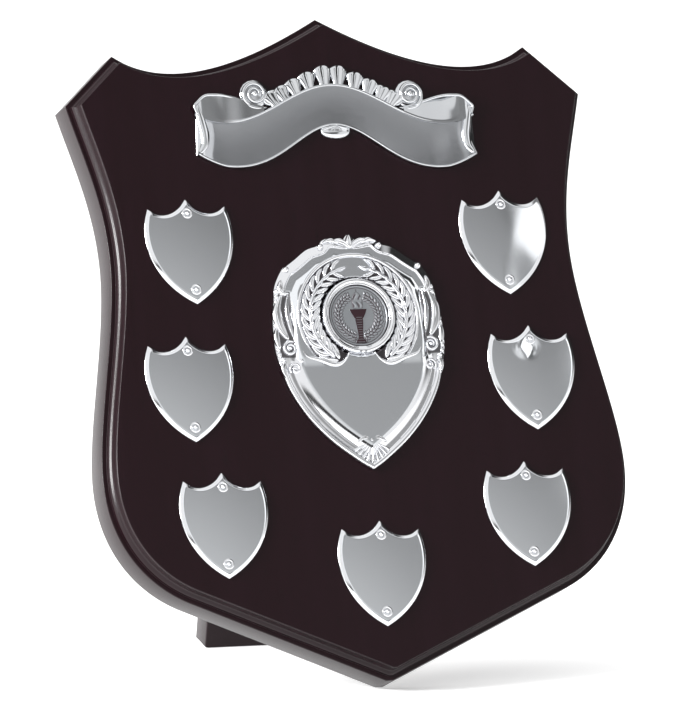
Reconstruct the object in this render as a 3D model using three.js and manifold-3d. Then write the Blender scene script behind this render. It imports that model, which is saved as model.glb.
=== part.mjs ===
// Award shield: a dark wooden board cut as a shield, leaning back on a wooden leg. Its face
// carries a pressed ribbon scroll, a pressed centre shield that holds a round torch disc, and
// seven small blank shields, each held by two domed pins.
//
// Millimetres, with +Z up, the front facing -Y and the origin on the ground, in the middle of
// the space that the award takes up. Everything on the board is drawn flat first: x to the
// right, y up the board from its tip, z out of the board from its back.

import * as THREE from 'three';
import { mergeVertices } from 'three/addons/utils/BufferGeometryUtils.js';
import Module from 'manifold-3d';

const wasm = await Module();
wasm.setup();

// Board
const boardHeight = 275;
const boardWidth = 224;
const boardThickness = 22;
const bandHeight = 13.9; // plain side, from the back up to the moulding
const ledgeWidth = 1.3; // flat ledge between the side and the bead
const beadWidth = 0.9;
const coveWidth = 1.0;
const tipFlat = 3; // small flat that the tip stands on
const boardCurveSteps = 9;

// Leg behind the board
const legWidth = 70;
const legThickness = 12.6;
const legLength = 198.7;
const legTop = 209.6; // height up the board where the leg's front meets the back
const legAngle = THREE.MathUtils.degToRad(31.4); // between the leg and the board

// Ribbon scroll
const scrollLength = 120;
const scrollHeight = 43;
const scrollRelief = 2.6;
const scrollCentre = 0.8255; // shares of the board's height, as are the other places below
const scrollTurn = THREE.MathUtils.degToRad(-1.4);

// Centre shield and its disc
const crestHeight = 97.3;
const crestWidth = 72.8;
const crestEdge = 0.9; // thickness at the outer edge
const crestRelief = 4.6; // height of the wreath and the disc's holder
const crestCentre = 0.5382;
const discDiameter = 25;
const discThickness = 1.4;
const holderWidth = 2.2;
const holderDepth = 1.0; // how far the disc sits below the holder's rim

// Small shields
const badgeHeight = 43.5;
const badgeWidth = 37.6;
const badgeEdge = 0.6;
const badgeRelief = 1.5;
const badgeRim = 1.2;
const badgePeaks = [
  // side, share of the board's half width, share of its height, turn in degrees
  ['top_left', -0.603, 0.724, 0.7],
  ['top_right', 0.603, 0.724, 0.2],
  ['middle_left', -0.657, 0.518, -0.4],
  ['middle_right', 0.657, 0.518, -1.2],
  ['lower_left', -0.579, 0.313, -1.9],
  ['lower_right', 0.579, 0.313, -0.3],
  ['bottom', 0, 0.2326, -1.9],
];

// Pins
const pinDiameter = 2;
const pinHeight = 0.8;
const pinFromPeak = 6;
const pinFromTip = 5.9;

// Pieces that touch keep this much between them
const clearance = 0.3;

const lacquer = new THREE.MeshStandardMaterial({ color: 0x26191c, roughness: 0.35, metalness: 0 });
const chrome = new THREE.MeshStandardMaterial({ color: 0xd8dadc, roughness: 0.12, metalness: 1 });
const pewter = new THREE.MeshStandardMaterial({ color: 0x9a9da0, roughness: 0.4, metalness: 1 });

// Outlines

// Points of a shape made from its right half, top first, mirrored to a full counterclockwise ring
function mirrored(rightHalf) {
  const left = rightHalf.map((p) => new THREE.Vector2(-p.x, p.y));
  const ring = [...rightHalf.slice().reverse(), ...left];
  return ring.filter((p, i) => p.distanceTo(ring[(i + 1) % ring.length]) > 1e-4);
}

function curvePoints(curves, steps) {
  const points = [curves[0].getPoint(0)];
  for (const curve of curves) {
    const count = curve instanceof THREE.LineCurve ? 1 : steps;
    for (let i = 1; i <= count; i += 1) points.push(curve.getPoint(i / count));
  }
  return points;
}

function boardOutline() {
  const at = (x, y) => new THREE.Vector2((x * boardWidth) / 2, y * boardHeight);
  const peak = at(0, 1);
  const ear = at(0.794, 0.951);
  const shoulder = at(0.991, 0.8765);
  const waist = at(0.885, 0.645);
  const bulge = at(1, 0.312);
  const flank = at(0.714, 0.126);
  const foot = new THREE.Vector2(tipFlat / 2, 0);
  const half = curvePoints(
    [
      new THREE.CubicBezierCurve(peak, at(0.2, 0.955), at(0.56, 0.883), ear),
      new THREE.LineCurve(ear, shoulder),
      new THREE.CubicBezierCurve(shoulder, at(0.945, 0.8), at(0.885, 0.735), waist),
      new THREE.CubicBezierCurve(waist, at(0.885, 0.54), at(1, 0.4), bulge),
      new THREE.CubicBezierCurve(bulge, at(1, 0.215), at(0.87, 0.153), flank),
      new THREE.LineCurve(flank, foot),
    ],
    boardCurveSteps,
  );
  return mirrored(half);
}

function badgeOutline() {
  const at = (x, y) => new THREE.Vector2((x * badgeWidth) / 2, y * badgeHeight);
  const half = curvePoints(
    [
      new THREE.CubicBezierCurve(at(0, 0), at(0.17, -0.12), at(0.56, -0.207), at(0.875, -0.08)),
      new THREE.CubicBezierCurve(at(0.875, -0.08), at(1.144, -0.345), at(1.011, -0.759), at(0, -1)),
    ],
    6,
  );
  return mirrored(half);
}

// Ring moved inwards by a distance, square to its edges, with sharp corners kept
function inset(ring, distance) {
  return ring.map((point, i) => {
    const before = point.clone().sub(ring[(i + ring.length - 1) % ring.length]).normalize();
    const after = ring[(i + 1) % ring.length].clone().sub(point).normalize();
    const inward = new THREE.Vector2(-before.y - after.y, before.x + after.x);
    return point.clone().addScaledVector(inward, distance / (1 + before.dot(after)));
  });
}

// Solids

function solidGeometry(positions, triangles) {
  const geometry = new THREE.BufferGeometry();
  geometry.setAttribute('position', new THREE.Float32BufferAttribute(positions, 3));
  geometry.setIndex(triangles);
  return geometry;
}

function capTriangles(ring, offset, facesUp) {
  return THREE.ShapeUtils.triangulateShape(ring, []).flatMap(([a, b, c]) => {
    const turn = ring[b].clone().sub(ring[a]).cross(ring[c].clone().sub(ring[a]));
    const order = turn > 0 === facesUp ? [a, b, c] : [a, c, b];
    return order.map((i) => i + offset);
  });
}

// Closed solid through rings of points that all have the same count, from the bottom up. The top
// is a flat cap, or runs to one point where a summit is given.
function ringSolid(rings, summit) {
  const count = rings[0].length;
  const positions = rings.flat().flatMap((p) => [p.x, p.y, p.z]);
  const triangles = capTriangles(rings[0].map((p) => new THREE.Vector2(p.x, p.y)), 0, false);
  for (let k = 0; k + 1 < rings.length; k += 1) {
    for (let j = 0; j < count; j += 1) {
      const next = (j + 1) % count;
      const [a, b] = [k * count + j, k * count + next];
      triangles.push(a, b, b + count, a, b + count, a + count);
    }
  }
  const last = (rings.length - 1) * count;
  if (summit) {
    positions.push(summit.x, summit.y, summit.z);
    const top = positions.length / 3 - 1;
    for (let j = 0; j < count; j += 1) triangles.push(last + j, last + ((j + 1) % count), top);
  } else {
    const flat = rings[rings.length - 1].map((p) => new THREE.Vector2(p.x, p.y));
    triangles.push(...capTriangles(flat, last, true));
  }
  return solidGeometry(positions, triangles);
}

function atHeight(ring, z) {
  return ring.map((p) => new THREE.Vector3(p.x, p.y, z));
}

function toManifold(geometry) {
  const bare = geometry.clone();
  bare.deleteAttribute('normal');
  bare.deleteAttribute('uv');
  const merged = mergeVertices(bare, 1e-4);
  return new wasm.Manifold(
    new wasm.Mesh({
      numProp: 3,
      vertProperties: new Float32Array(merged.attributes.position.array),
      triVerts: new Uint32Array(merged.index.array),
    }),
  );
}

function joined(geometries) {
  const whole = geometries.map(toManifold).reduce((sum, next) => sum.add(next));
  const mesh = whole.getMesh();
  return solidGeometry(Array.from(mesh.vertProperties), Array.from(mesh.triVerts));
}

// Flat bottom for a raised detail: everything below the sheet's own floor is taken away
function aboveFloor(geometry, floor, reach) {
  const below = new THREE.BoxGeometry(reach, reach, reach).translate(0, 0, floor - reach / 2);
  const mesh = toManifold(geometry).subtract(toManifold(below)).getMesh();
  return solidGeometry(Array.from(mesh.vertProperties), Array.from(mesh.triVerts));
}

// Board

function boardSolid() {
  const outline = boardOutline();
  const rise = boardThickness - bandHeight;
  const bead = ledgeWidth + beadWidth;
  const cove = bead + coveWidth;
  const arris = 0.4;
  const profile = [
    [0, 0],
    [0, bandHeight - arris],
    [arris, bandHeight],
    [ledgeWidth, bandHeight],
    [ledgeWidth + beadWidth * 0.1, bandHeight + rise * 0.22],
    [ledgeWidth + beadWidth * 0.5, bandHeight + rise * 0.38],
    [bead, bandHeight + rise * 0.44],
    [bead + coveWidth * 0.2, bandHeight + rise * 0.66],
    [cove, boardThickness - 2 * arris],
    [cove + arris, boardThickness],
  ];
  return ringSolid(profile.map(([distance, z]) => atHeight(inset(outline, distance), z)));
}

// Leg: a plank with a square foot and a top bevelled to seat on the board's back

function legSolid() {
  const down = new THREE.Vector2(-Math.cos(legAngle), -Math.sin(legAngle));
  const back = new THREE.Vector2(Math.sin(legAngle), -Math.cos(legAngle));
  const seat = new THREE.Vector2(legTop, -clearance);
  const foot = seat.clone().addScaledVector(down, legLength);
  const heel = foot.clone().addScaledVector(back, legThickness);
  const heelToSeat = (-clearance - heel.y) / -down.y;
  const top = heel.clone().addScaledVector(down, -heelToSeat);
  const side = new THREE.Shape([foot, seat, top, heel]);
  const solid = new THREE.ExtrudeGeometry(side, { depth: legWidth, bevelEnabled: false });
  // The side was drawn with the board's height as x and its depth as y: turned to y and z
  solid.applyMatrix4(new THREE.Matrix4().set(0, 0, 1, -legWidth / 2, 1, 0, 0, 0, 0, 1, 0, 0, 0, 0, 0, 1));
  return { solid, foot };
}

// Scroll: a waved ribbon with raised rims and rolled ends, a fan of lobes along its top between
// two volutes, and a small boss under its middle. Lengths are shares of its length and height.

const unitX = scrollLength / 120;
const unitY = scrollHeight / 43;

function ribbonTop(x) {
  return 10.6 + 7.7 * Math.cos((Math.PI * x) / 46);
}

function ribbonBottom(x) {
  const phase = (Math.PI * x) / 43.5;
  return -8 + 8.8 * Math.cos(phase) - 1.5 * Math.sin(phase) ** 2 + 1.4 * Math.max(0, Math.abs(x) / 60 - 0.8) * 5;
}

// How far the rolled ends curve in, between their upper and lower corners
function ribbonEnd(share) {
  return 60 - 2.4 * Math.sin(Math.PI * Math.min(1, share * 1.05));
}

function ribbonSolid() {
  const across = [
    [0, 0.5],
    [0.03, 1],
    [0.09, 1],
    [0.14, 0.62],
    [0.5, 0.52],
    [0.86, 0.62],
    [0.91, 1],
    [0.97, 1],
    [1, 0.5],
  ];
  const steps = 28;
  const sections = [];
  for (let i = 0; i <= steps; i += 1) {
    const along = (2 * i) / steps - 1;
    const edge = Math.abs(along) > 0.98 ? 1 : 0;
    const section = across.map(([share, height]) => {
      const x = along * ribbonEnd(share);
      const y = THREE.MathUtils.lerp(ribbonBottom(x), ribbonTop(x), share);
      const z = scrollRelief * Math.max(height, edge);
      return new THREE.Vector3(x * unitX, y * unitY, z);
    });
    sections.push([...section, ...section.map((p) => new THREE.Vector3(p.x, p.y, 0)).reverse()]);
  }
  const count = sections[0].length;
  const positions = sections.flat().flatMap((p) => [p.x, p.y, p.z]);
  const triangles = [];
  for (let i = 0; i < steps; i += 1) {
    for (let j = 0; j < count; j += 1) {
      const [a, b] = [i * count + j, i * count + ((j + 1) % count)];
      triangles.push(a, b + count, b, a, a + count, b + count);
    }
  }
  const half = count / 2;
  for (const [start, flip] of [[0, false], [steps * count, true]]) {
    for (let j = 0; j + 1 < half; j += 1) {
      const quad = [j, j + 1, count - 2 - j, count - 1 - j].map((k) => start + k);
      const order = flip ? [0, 2, 1, 0, 3, 2] : [0, 1, 2, 0, 2, 3];
      triangles.push(...order.map((k) => quad[k]));
    }
  }
  return solidGeometry(positions, triangles);
}

// The rolled-over end of the ribbon that shows above it, on one side
function ribbonFold(side) {
  const at = (x, y) => new THREE.Vector2(side * x * unitX, y * unitY);
  const half = curvePoints(
    [
      new THREE.CubicBezierCurve(at(27, 8), at(37, 11), at(48, 15.5), at(55, 13.2)),
      new THREE.QuadraticBezierCurve(at(55, 13.2), at(59.5, 12), at(60, 8)),
      new THREE.QuadraticBezierCurve(at(60, 8), at(59.5, 4), at(58.4, 1.5)),
      new THREE.QuadraticBezierCurve(at(58.4, 1.5), at(44, -1), at(27, 8)),
    ],
    6,
  ).slice(0, -1);
  const ring = THREE.ShapeUtils.area(half) > 0 ? half : half.reverse();
  const rim = inset(ring, 1);
  return ringSolid([
    atHeight(ring, 0),
    atHeight(ring, scrollRelief * 0.55),
    atHeight(rim, scrollRelief * 0.68),
  ]);
}

function lobeSolid(x, tip, turn) {
  const root = ribbonTop(x) - 2;
  const length = tip - root;
  const lobe = new THREE.SphereGeometry(1, 8, 6);
  lobe.scale(2.9 * unitX, (length / 2) * unitY, scrollRelief * 0.95);
  lobe.rotateZ(-turn);
  lobe.translate(x * unitX, ((tip + root) / 2) * unitY, 0);
  return aboveFloor(lobe, 0, scrollLength * 2);
}

function voluteSolid(x, y, radius) {
  const size = radius * Math.min(unitX, unitY);
  const profile = [
    [0, 0],
    [1, 0],
    [1, 0.5],
    [0.84, 0.95],
    [0.62, 0.9],
    [0.5, 0.5],
    [0.34, 0.5],
    [0.18, 0.95],
    [0, 1],
  ].map(([r, z]) => new THREE.Vector2(r * size, z * scrollRelief));
  const volute = new THREE.LatheGeometry(profile, 16).rotateX(Math.PI / 2);
  return volute.translate(x * unitX, y * unitY, 0);
}

function scrollSolid() {
  const pieces = [ribbonSolid(), ribbonFold(1), ribbonFold(-1)];
  const lobes = [
    [3.2, 26.2, 0.06],
    [10.2, 23.4, 0.2],
    [16.4, 20.4, 0.36],
    [21.8, 17.3, 0.5],
    [26.4, 15, 0.6],
  ];
  for (const side of [1, -1]) {
    for (const [x, tip, turn] of lobes) pieces.push(lobeSolid(side * x, tip, side * turn));
    pieces.push(voluteSolid(side * 33.4, 14.7, 6.2));
  }
  const boss = new THREE.SphereGeometry(1, 12, 8);
  boss.scale(6.8 * unitX, 3.4 * unitY, scrollRelief * 1.2).translate(0, -1 * unitY, 0);
  pieces.push(aboveFloor(boss, 0, scrollLength * 2));
  return joined(pieces);
}

// Centre shield, drawn round the disc's centre: each ray from there runs out over the holder,
// the wreath or the plaque, and the border

const crestHalfOutline = [
  // shares of the half width, and of the height above or below the disc's centre
  [0, 0.351],
  [0.1, 0.337],
  [0.24, 0.33],
  [0.36, 0.316],
  [0.5, 0.283],
  [0.67, 0.24],
  [0.83, 0.193],
  [0.93, 0.142],
  [0.97, 0.08],
  [1, 0.0],
  [1, -0.1],
  [0.985, -0.175],
  [0.925, -0.235],
  [0.75, -0.372],
  [0.515, -0.487],
  [0.225, -0.592],
  [0, -0.649],
];

function crestRim() {
  const points = crestHalfOutline.map(
    ([x, y]) => new THREE.Vector2((x * crestWidth) / 2, y * crestHeight),
  );
  return mirrored(new THREE.SplineCurve(points).getPoints(44));
}

// Leaves of the two laurel branches, as a height between 0 and 1 at a place in the wreath
function leafHeight(angle, share) {
  const fromTop = Math.abs(Math.atan2(Math.cos(angle), Math.sin(angle)));
  const open = THREE.MathUtils.smoothstep(fromTop, 0.2, 0.42);
  const closed = 1 - THREE.MathUtils.smoothstep(fromTop, 2.45, 2.6);
  const leaf = Math.abs(Math.sin(fromTop * 7 + 2.6 * Math.abs(share - 0.5)));
  const round = Math.sin(Math.PI * THREE.MathUtils.clamp(share, 0, 1)) ** 0.5;
  return open * closed * round * (0.55 + 0.45 * leaf);
}

function crestSolid() {
  const rim = crestRim();
  const hollow = discDiameter / 2 + clearance;
  const holder = hollow + holderWidth;
  const wreath = holder + 0.35 * (crestWidth / 2 - holder) + 2.5;
  const floor = crestRelief - holderDepth - discThickness - clearance;
  const plaque = crestRelief * 0.45;
  const wreathShares = [0.04, 0.25, 0.5, 0.75, 1];
  // From the wreath out to the edge: share of the way, height over the plaque, upper and lower
  const border = [
    [0.3, 0.05, 0.05],
    [0.55, 0.15, -0.1],
    [0.68, 0.7, -0.25],
    [0.8, 0.35, 0.15],
    [0.92, 0.85, 0.55],
    [1, 0.1, 0.1],
  ];
  const rings = [rim.map((p) => new THREE.Vector3(p.x, p.y, 0))];
  const ringAt = (radiusOf, heightOf) => {
    rings.push(
      rim.map((p) => {
        const angle = Math.atan2(p.y, p.x);
        const radius = radiusOf(p.length());
        const z = heightOf(angle);
        return new THREE.Vector3(radius * Math.cos(angle), radius * Math.sin(angle), z);
      }),
    );
  };
  const upper = (angle) => THREE.MathUtils.smoothstep(Math.sin(angle), -0.75, -0.35);
  ringAt((reach) => reach, () => crestEdge);
  for (const [share, high, low] of border.slice(0, -1).reverse()) {
    ringAt(
      (reach) => THREE.MathUtils.lerp(wreath, reach, share),
      (angle) => {
        const leafy = 1 + 0.25 * Math.cos(angle * 26) * upper(angle) * (high > 0.5 ? 1 : 0);
        const over = THREE.MathUtils.lerp(low, high * leafy, upper(angle));
        return THREE.MathUtils.lerp(plaque, crestEdge, share ** 2) + over * 1.4;
      },
    );
  }
  for (const share of wreathShares.slice().reverse()) {
    ringAt(
      () => THREE.MathUtils.lerp(holder, wreath, share),
      (angle) => plaque + (crestRelief - plaque) * leafHeight(angle, share * 0.9 + 0.05),
    );
  }
  ringAt(() => holder, () => plaque + (crestRelief - plaque) * 0.5);
  ringAt(() => holder - holderWidth * 0.3, () => crestRelief);
  ringAt(() => hollow + 0.2, () => crestRelief);
  ringAt(() => hollow, () => floor);
  return { solid: ringSolid(rings, new THREE.Vector3(0, 0, floor)), floor };
}

// Disc: a struck medal with a torch between two laurel sprays, inside a plain rim

function discSolid() {
  const radius = discDiameter / 2;
  const field = discThickness * 0.7;
  const rim = [
    [0, 0],
    [1, 0],
    [1, discThickness],
    [0.93, discThickness],
    [0.9, field],
    [0, field],
  ].map(([r, z]) => new THREE.Vector2(r * radius, z));
  const plate = new THREE.LatheGeometry(rim, 32).rotateX(Math.PI / 2);
  const at = (x, y) => new THREE.Vector2(x * radius, y * radius);
  const torch = new THREE.Shape([
    at(-0.07, -0.74),
    at(0.07, -0.74),
    at(0.13, -0.12),
    at(0.28, 0.06),
    at(0.3, 0.16),
    at(0.1, 0.16),
    at(0.13, 0.34),
    at(0, 0.66),
    at(-0.13, 0.34),
    at(-0.1, 0.16),
    at(-0.3, 0.16),
    at(-0.28, 0.06),
    at(-0.13, -0.12),
  ]);
  const raised = { depth: discThickness * 0.6, bevelEnabled: false };
  const pieces = [plate, new THREE.ExtrudeGeometry(torch, raised).translate(0, 0, field / 2)];
  const leaves = 6;
  for (const side of [1, -1]) {
    for (let i = 0; i < leaves; i += 1) {
      const angle = THREE.MathUtils.lerp(-1.25, 1.15, i / (leaves - 1));
      const leaf = new THREE.SphereGeometry(1, 5, 4);
      leaf.scale(radius * 0.085, radius * 0.2, discThickness * 0.25);
      leaf.rotateZ(angle * side + side * 0.25);
      leaf.translate(side * radius * 0.7 * Math.cos(angle), radius * 0.7 * Math.sin(angle), field);
      pieces.push(leaf);
    }
  }
  return joined(pieces);
}

// Small shield: a blank plate with a rolled rim and a slightly domed field

function badgeSolid() {
  const outline = badgeOutline();
  const middle = new THREE.Vector2(0, -badgeHeight * 0.46);
  const shrunk = (ring, share) => ring.map((p) => p.clone().sub(middle).multiplyScalar(share).add(middle));
  const field = inset(outline, badgeRim);
  return ringSolid(
    [
      atHeight(outline, 0),
      atHeight(outline, badgeEdge),
      atHeight(inset(outline, badgeRim * 0.55), badgeRelief * 0.85),
      atHeight(field, badgeRelief * 0.72),
      atHeight(shrunk(field, 0.6), badgeRelief * 0.93),
    ],
    new THREE.Vector3(middle.x, middle.y, badgeRelief),
  );
}

function pinSolid() {
  const radius = pinDiameter / 2;
  const profile = [
    [0, 0],
    [1, 0],
    [0.8, 0.6],
    [0, 1],
  ].map(([r, z]) => new THREE.Vector2(r * radius, z * pinHeight));
  return new THREE.LatheGeometry(profile, 9).rotateX(Math.PI / 2);
}

// Assembly

function named(name, geometry, material) {
  const mesh = new THREE.Mesh(geometry, material);
  mesh.name = name;
  return mesh;
}

const leg = legSolid();
const lean = Math.atan2(leg.foot.x, -leg.foot.y);
const onFace = boardThickness + clearance;

const leaning = new THREE.Group();
leaning.rotation.x = Math.PI / 2 - lean;
leaning.add(named('board', boardSolid(), lacquer), named('leg', leg.solid, lacquer));

const scroll = named('scroll', scrollSolid(), chrome);
scroll.position.set(0, scrollCentre * boardHeight, onFace);
scroll.rotation.z = scrollTurn;
leaning.add(scroll);

const crest = crestSolid();
const centre = new THREE.Group();
centre.position.set(0, crestCentre * boardHeight, onFace);
const disc = named('centre_disc', discSolid(), pewter);
disc.position.z = crest.floor + clearance;
centre.add(named('centre_shield', crest.solid, chrome), disc);
leaning.add(centre);

for (const [side, across, up, turn] of badgePeaks) {
  const place = new THREE.Group();
  place.position.set((across * boardWidth) / 2, up * boardHeight, onFace);
  place.rotation.z = THREE.MathUtils.degToRad(turn);
  place.add(named(`shield_${side}`, badgeSolid(), chrome));
  const pins = [
    ['upper', -pinFromPeak],
    ['lower', -badgeHeight + pinFromTip],
  ];
  for (const [end, y] of pins) {
    const pin = named(`pin_${side}_${end}`, pinSolid(), chrome);
    pin.position.set(0, y, badgeRelief + clearance);
    place.add(pin);
  }
  leaning.add(place);
}

const award = new THREE.Group();
award.add(leaning);

// The origin goes to the middle of the underside
award.updateMatrixWorld(true);
const space = new THREE.Box3().setFromObject(award, true);
leaning.position.x -= (space.min.x + space.max.x) / 2;
leaning.position.y -= (space.min.y + space.max.y) / 2;
leaning.position.z -= space.min.z;

export default award;
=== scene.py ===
"""Award shield: a dark lacquered wooden board on a leg, dressed with bright pressed plates.

The board is drawn flat in millimetres, x to the right, y up the board from its tip and z out of
it from its back, and every piece is then leaned back into the frame in metres.
"""

import math

import bpy
import numpy as np
from mathutils import Matrix, Vector


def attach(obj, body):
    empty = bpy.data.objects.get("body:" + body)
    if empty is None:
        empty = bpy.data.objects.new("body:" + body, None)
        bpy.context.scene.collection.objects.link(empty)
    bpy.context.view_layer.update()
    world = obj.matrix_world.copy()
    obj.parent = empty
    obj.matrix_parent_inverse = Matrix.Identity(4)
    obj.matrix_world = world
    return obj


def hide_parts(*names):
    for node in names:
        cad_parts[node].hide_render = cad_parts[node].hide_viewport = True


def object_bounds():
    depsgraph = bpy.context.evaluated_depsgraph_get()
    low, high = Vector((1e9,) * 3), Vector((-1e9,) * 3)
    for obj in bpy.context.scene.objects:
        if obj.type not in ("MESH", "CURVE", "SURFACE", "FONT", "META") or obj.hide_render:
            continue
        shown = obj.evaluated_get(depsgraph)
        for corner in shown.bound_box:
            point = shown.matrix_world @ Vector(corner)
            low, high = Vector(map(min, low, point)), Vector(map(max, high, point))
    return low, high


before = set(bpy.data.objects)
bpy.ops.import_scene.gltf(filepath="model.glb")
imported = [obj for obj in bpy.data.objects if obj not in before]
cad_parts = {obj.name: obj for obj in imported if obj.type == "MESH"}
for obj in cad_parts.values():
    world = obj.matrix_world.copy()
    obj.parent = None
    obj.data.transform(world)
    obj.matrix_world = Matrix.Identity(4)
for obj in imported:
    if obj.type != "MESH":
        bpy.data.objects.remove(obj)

CAD_BOX = [list(corner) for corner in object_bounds()]

# Driving sizes in millimetres, as the solids have them
BOARD_HEIGHT = 275.0
BOARD_WIDTH = 224.0
BOARD_THICKNESS = 22.0
BAND_HEIGHT = 13.9
LEDGE_WIDTH = 2.0
BEAD_WIDTH = 1.0
COVE_WIDTH = 0.7
ARRIS = 0.4
TIP_FLAT = 3.0

LEG_WIDTH = 70.0
LEG_THICKNESS = 12.6
LEG_LENGTH = 198.7
LEG_TOP = 209.6
LEG_ANGLE = math.radians(31.4)

SCROLL_CENTRE = 0.8255
SCROLL_TURN = math.radians(-1.4)

CREST_HEIGHT = 97.3
CREST_WIDTH = 72.8
CREST_EDGE = 0.9
CREST_RELIEF = 4.6
CREST_CENTRE = 0.5382
DISC_RADIUS = 12.5
DISC_THICKNESS = 1.4
DISC_FIELD = 0.7 * DISC_THICKNESS
HOLDER_DEPTH = 1.0

BADGE_HEIGHT = 43.5
BADGE_WIDTH = 37.6
BADGE_RELIEF = 1.5
# Height of the sheet at its outer edge and in its plain field
BADGE_EDGE = 0.3
BADGE_FIELD = 1.2
# Share of the board's half width, share of its height and turn in degrees of each small shield
BADGES = {
    "top_left": (-0.603, 0.724, 0.7),
    "top_right": (0.603, 0.724, 0.2),
    "middle_left": (-0.657, 0.518, -0.4),
    "middle_right": (0.657, 0.518, -1.2),
    "lower_left": (-0.579, 0.313, -1.9),
    "lower_right": (0.579, 0.313, -0.3),
    "bottom": (0.0, 0.2326, -1.9),
}

PIN_RADIUS = 1.0
PIN_HEIGHT = 0.8
PIN_SUNK = 0.6
PIN_PLACES = {"upper": -6.0, "lower": 5.9 - BADGE_HEIGHT}
CLEARANCE = 0.3
ON_FACE = BOARD_THICKNESS + CLEARANCE

# The leg's foot and heel, up the board and out of it, and the lean that brings tip and foot level
FOOT = (LEG_TOP - LEG_LENGTH * math.cos(LEG_ANGLE), -CLEARANCE - LEG_LENGTH * math.sin(LEG_ANGLE))
LEAN = math.atan2(FOOT[0], -FOOT[1])
HEEL = (FOOT[0] + LEG_THICKNESS * math.sin(LEG_ANGLE), FOOT[1] - LEG_THICKNESS * math.cos(LEG_ANGLE))
TIP_DEPTH = CAD_BOX[1][1] * 1000 - (HEEL[0] * math.sin(LEAN) - HEEL[1] * math.cos(LEAN))


# Points and shells: a shell is its points, a list of face arrays and a mask, mostly of its plain areas; on
# the centre shield it is below zero where shade is painted, and on the disc it marks its darkened parts


def smoothstep(value, low, high):
    """Rises from 0 at low to 1 at high along 3t squared minus 2t cubed."""
    share = np.clip((value - low) / (high - low), 0, 1)
    return share * share * (3 - 2 * share)


def bump(value, centre, half_width):
    """A round bump: 1 at the centre, down to 0 at half_width on either side along a half ellipse."""
    return np.sqrt(np.clip(1 - ((value - centre) / half_width) ** 2, 0, 1))


def stack(x, y, z):
    """Arrays of x, y and z put together as points."""
    return np.stack(np.broadcast_arrays(x, y, z), axis=-1)


def placed(shell, x=0.0, y=0.0, z=0.0, turn=0.0):
    """A shell turned about z and then shifted, all in the flat drawing of the board."""
    points, faces, mask = shell
    cosine, sine = math.cos(turn), math.sin(turn)
    px, py, pz = points[:, 0], points[:, 1], points[:, 2]
    return stack(x + px * cosine - py * sine, y + px * sine + py * cosine, z + pz), faces, mask


def mirrored_shell(shell):
    """A shell mirrored left to right, its faces turned round so that they still look outwards."""
    points, faces, mask = shell
    return points * [-1, 1, 1], [part[:, ::-1] for part in faces], mask


def both_sides(shells):
    """Each shell and its mirror image."""
    return shells + [mirrored_shell(shell) for shell in shells]


def joined(shells):
    """Several closed shells as one, their points, faces and masks put one after another."""
    counts = np.cumsum([0] + [len(points) for points, _, _ in shells])
    faces = [part + start for (_, parts, _), start in zip(shells, counts) for part in parts]
    points = np.vstack([shell[0] for shell in shells])
    return points, faces, np.concatenate([shell[2] for shell in shells])


def leaned(points):
    """The flat drawing in millimetres, leaned back about the tip's rear edge, in metres."""
    x, y, z = points[..., 0], points[..., 1], points[..., 2]
    depth = TIP_DEPTH + y * math.sin(LEAN) - z * math.cos(LEAN)
    height = y * math.cos(LEAN) + z * math.sin(LEAN)
    return stack(x, depth, height) / 1000


def grid_quads(rows, columns, wrap):
    """Quads between each row and the next, counterclockwise as seen from the surface's front."""
    last = columns if wrap else columns - 1
    row, column = np.meshgrid(np.arange(rows - 1), np.arange(last), indexing="ij")
    beside = (column + 1) % columns
    corners = [row * columns + column, row * columns + beside]
    corners += [(row + 1) * columns + beside, (row + 1) * columns + column]
    return np.stack(corners, -1).reshape(-1, 4)


def ring_faces(rings, columns, pole=False):
    """Faces of stacked rings: quads between them, a base, and a cap or a fan to one last point."""
    last = (rings - 1) * columns
    nodes = np.arange(columns)
    faces = [grid_quads(rings, columns, True), nodes[None, ::-1]]
    if pole:
        tip = np.full(columns, last + columns)
        faces.append(np.stack([last + nodes, last + (nodes + 1) % columns, tip], -1))
    else:
        faces.append(last + nodes[None])
    return faces


def ring_shell(rings, summit=None, mask=None):
    """A closed shell of stacked rings of points, ending flat or in a single summit point."""
    count, columns = rings.shape[:2]
    points = rings.reshape(-1, 3)
    values = np.zeros(len(points)) if mask is None else mask.reshape(-1)
    if summit is not None:
        points = np.vstack([points, [summit]])
        values = np.append(values, values[-1])
    return points, ring_faces(count, columns, summit is not None), values


def sheet_shell(x, y, height, mask):
    """A closed shell from a grid of columns in x and rows in y: raised top, sides and flat base."""
    rows, columns = height.shape
    top = stack(x, y, height)
    points = np.concatenate([top[:1] * [1, 1, 0], top, top[-1:] * [1, 1, 0]])
    mask = np.concatenate([mask[:1], mask, mask[-1:]])
    count = rows + 2
    first, last = np.arange(columns), (count - 1) * columns + np.arange(columns)
    left = np.arange(count) * columns
    base = np.stack([last[:-1], last[1:], first[1:], first[:-1]], -1)
    ends = [left[None], (left + columns - 1)[None, ::-1]]
    return points.reshape(-1, 3), [grid_quads(count, columns, False), base] + ends, mask.reshape(-1)


def spline(points, steps):
    """Catmull-Rom curve through the points, with the same number of steps in each span."""
    points = np.array(points, float)
    before = np.vstack([points[:1], points[:-2]])
    after = np.vstack([points[2:], points[-1:]])
    share = np.linspace(0, 1, steps, endpoint=False)[None, :, None]
    a, b, c, d = (p[:, None, :] for p in (before, points[:-1], points[1:], after))
    third = 3 * (b - c) + d - a
    curve = b + 0.5 * share * (c - a + share * (2 * a - 5 * b + 4 * c - d + share * third))
    return np.vstack([curve.reshape(-1, points.shape[1]), points[-1:]])


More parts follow.
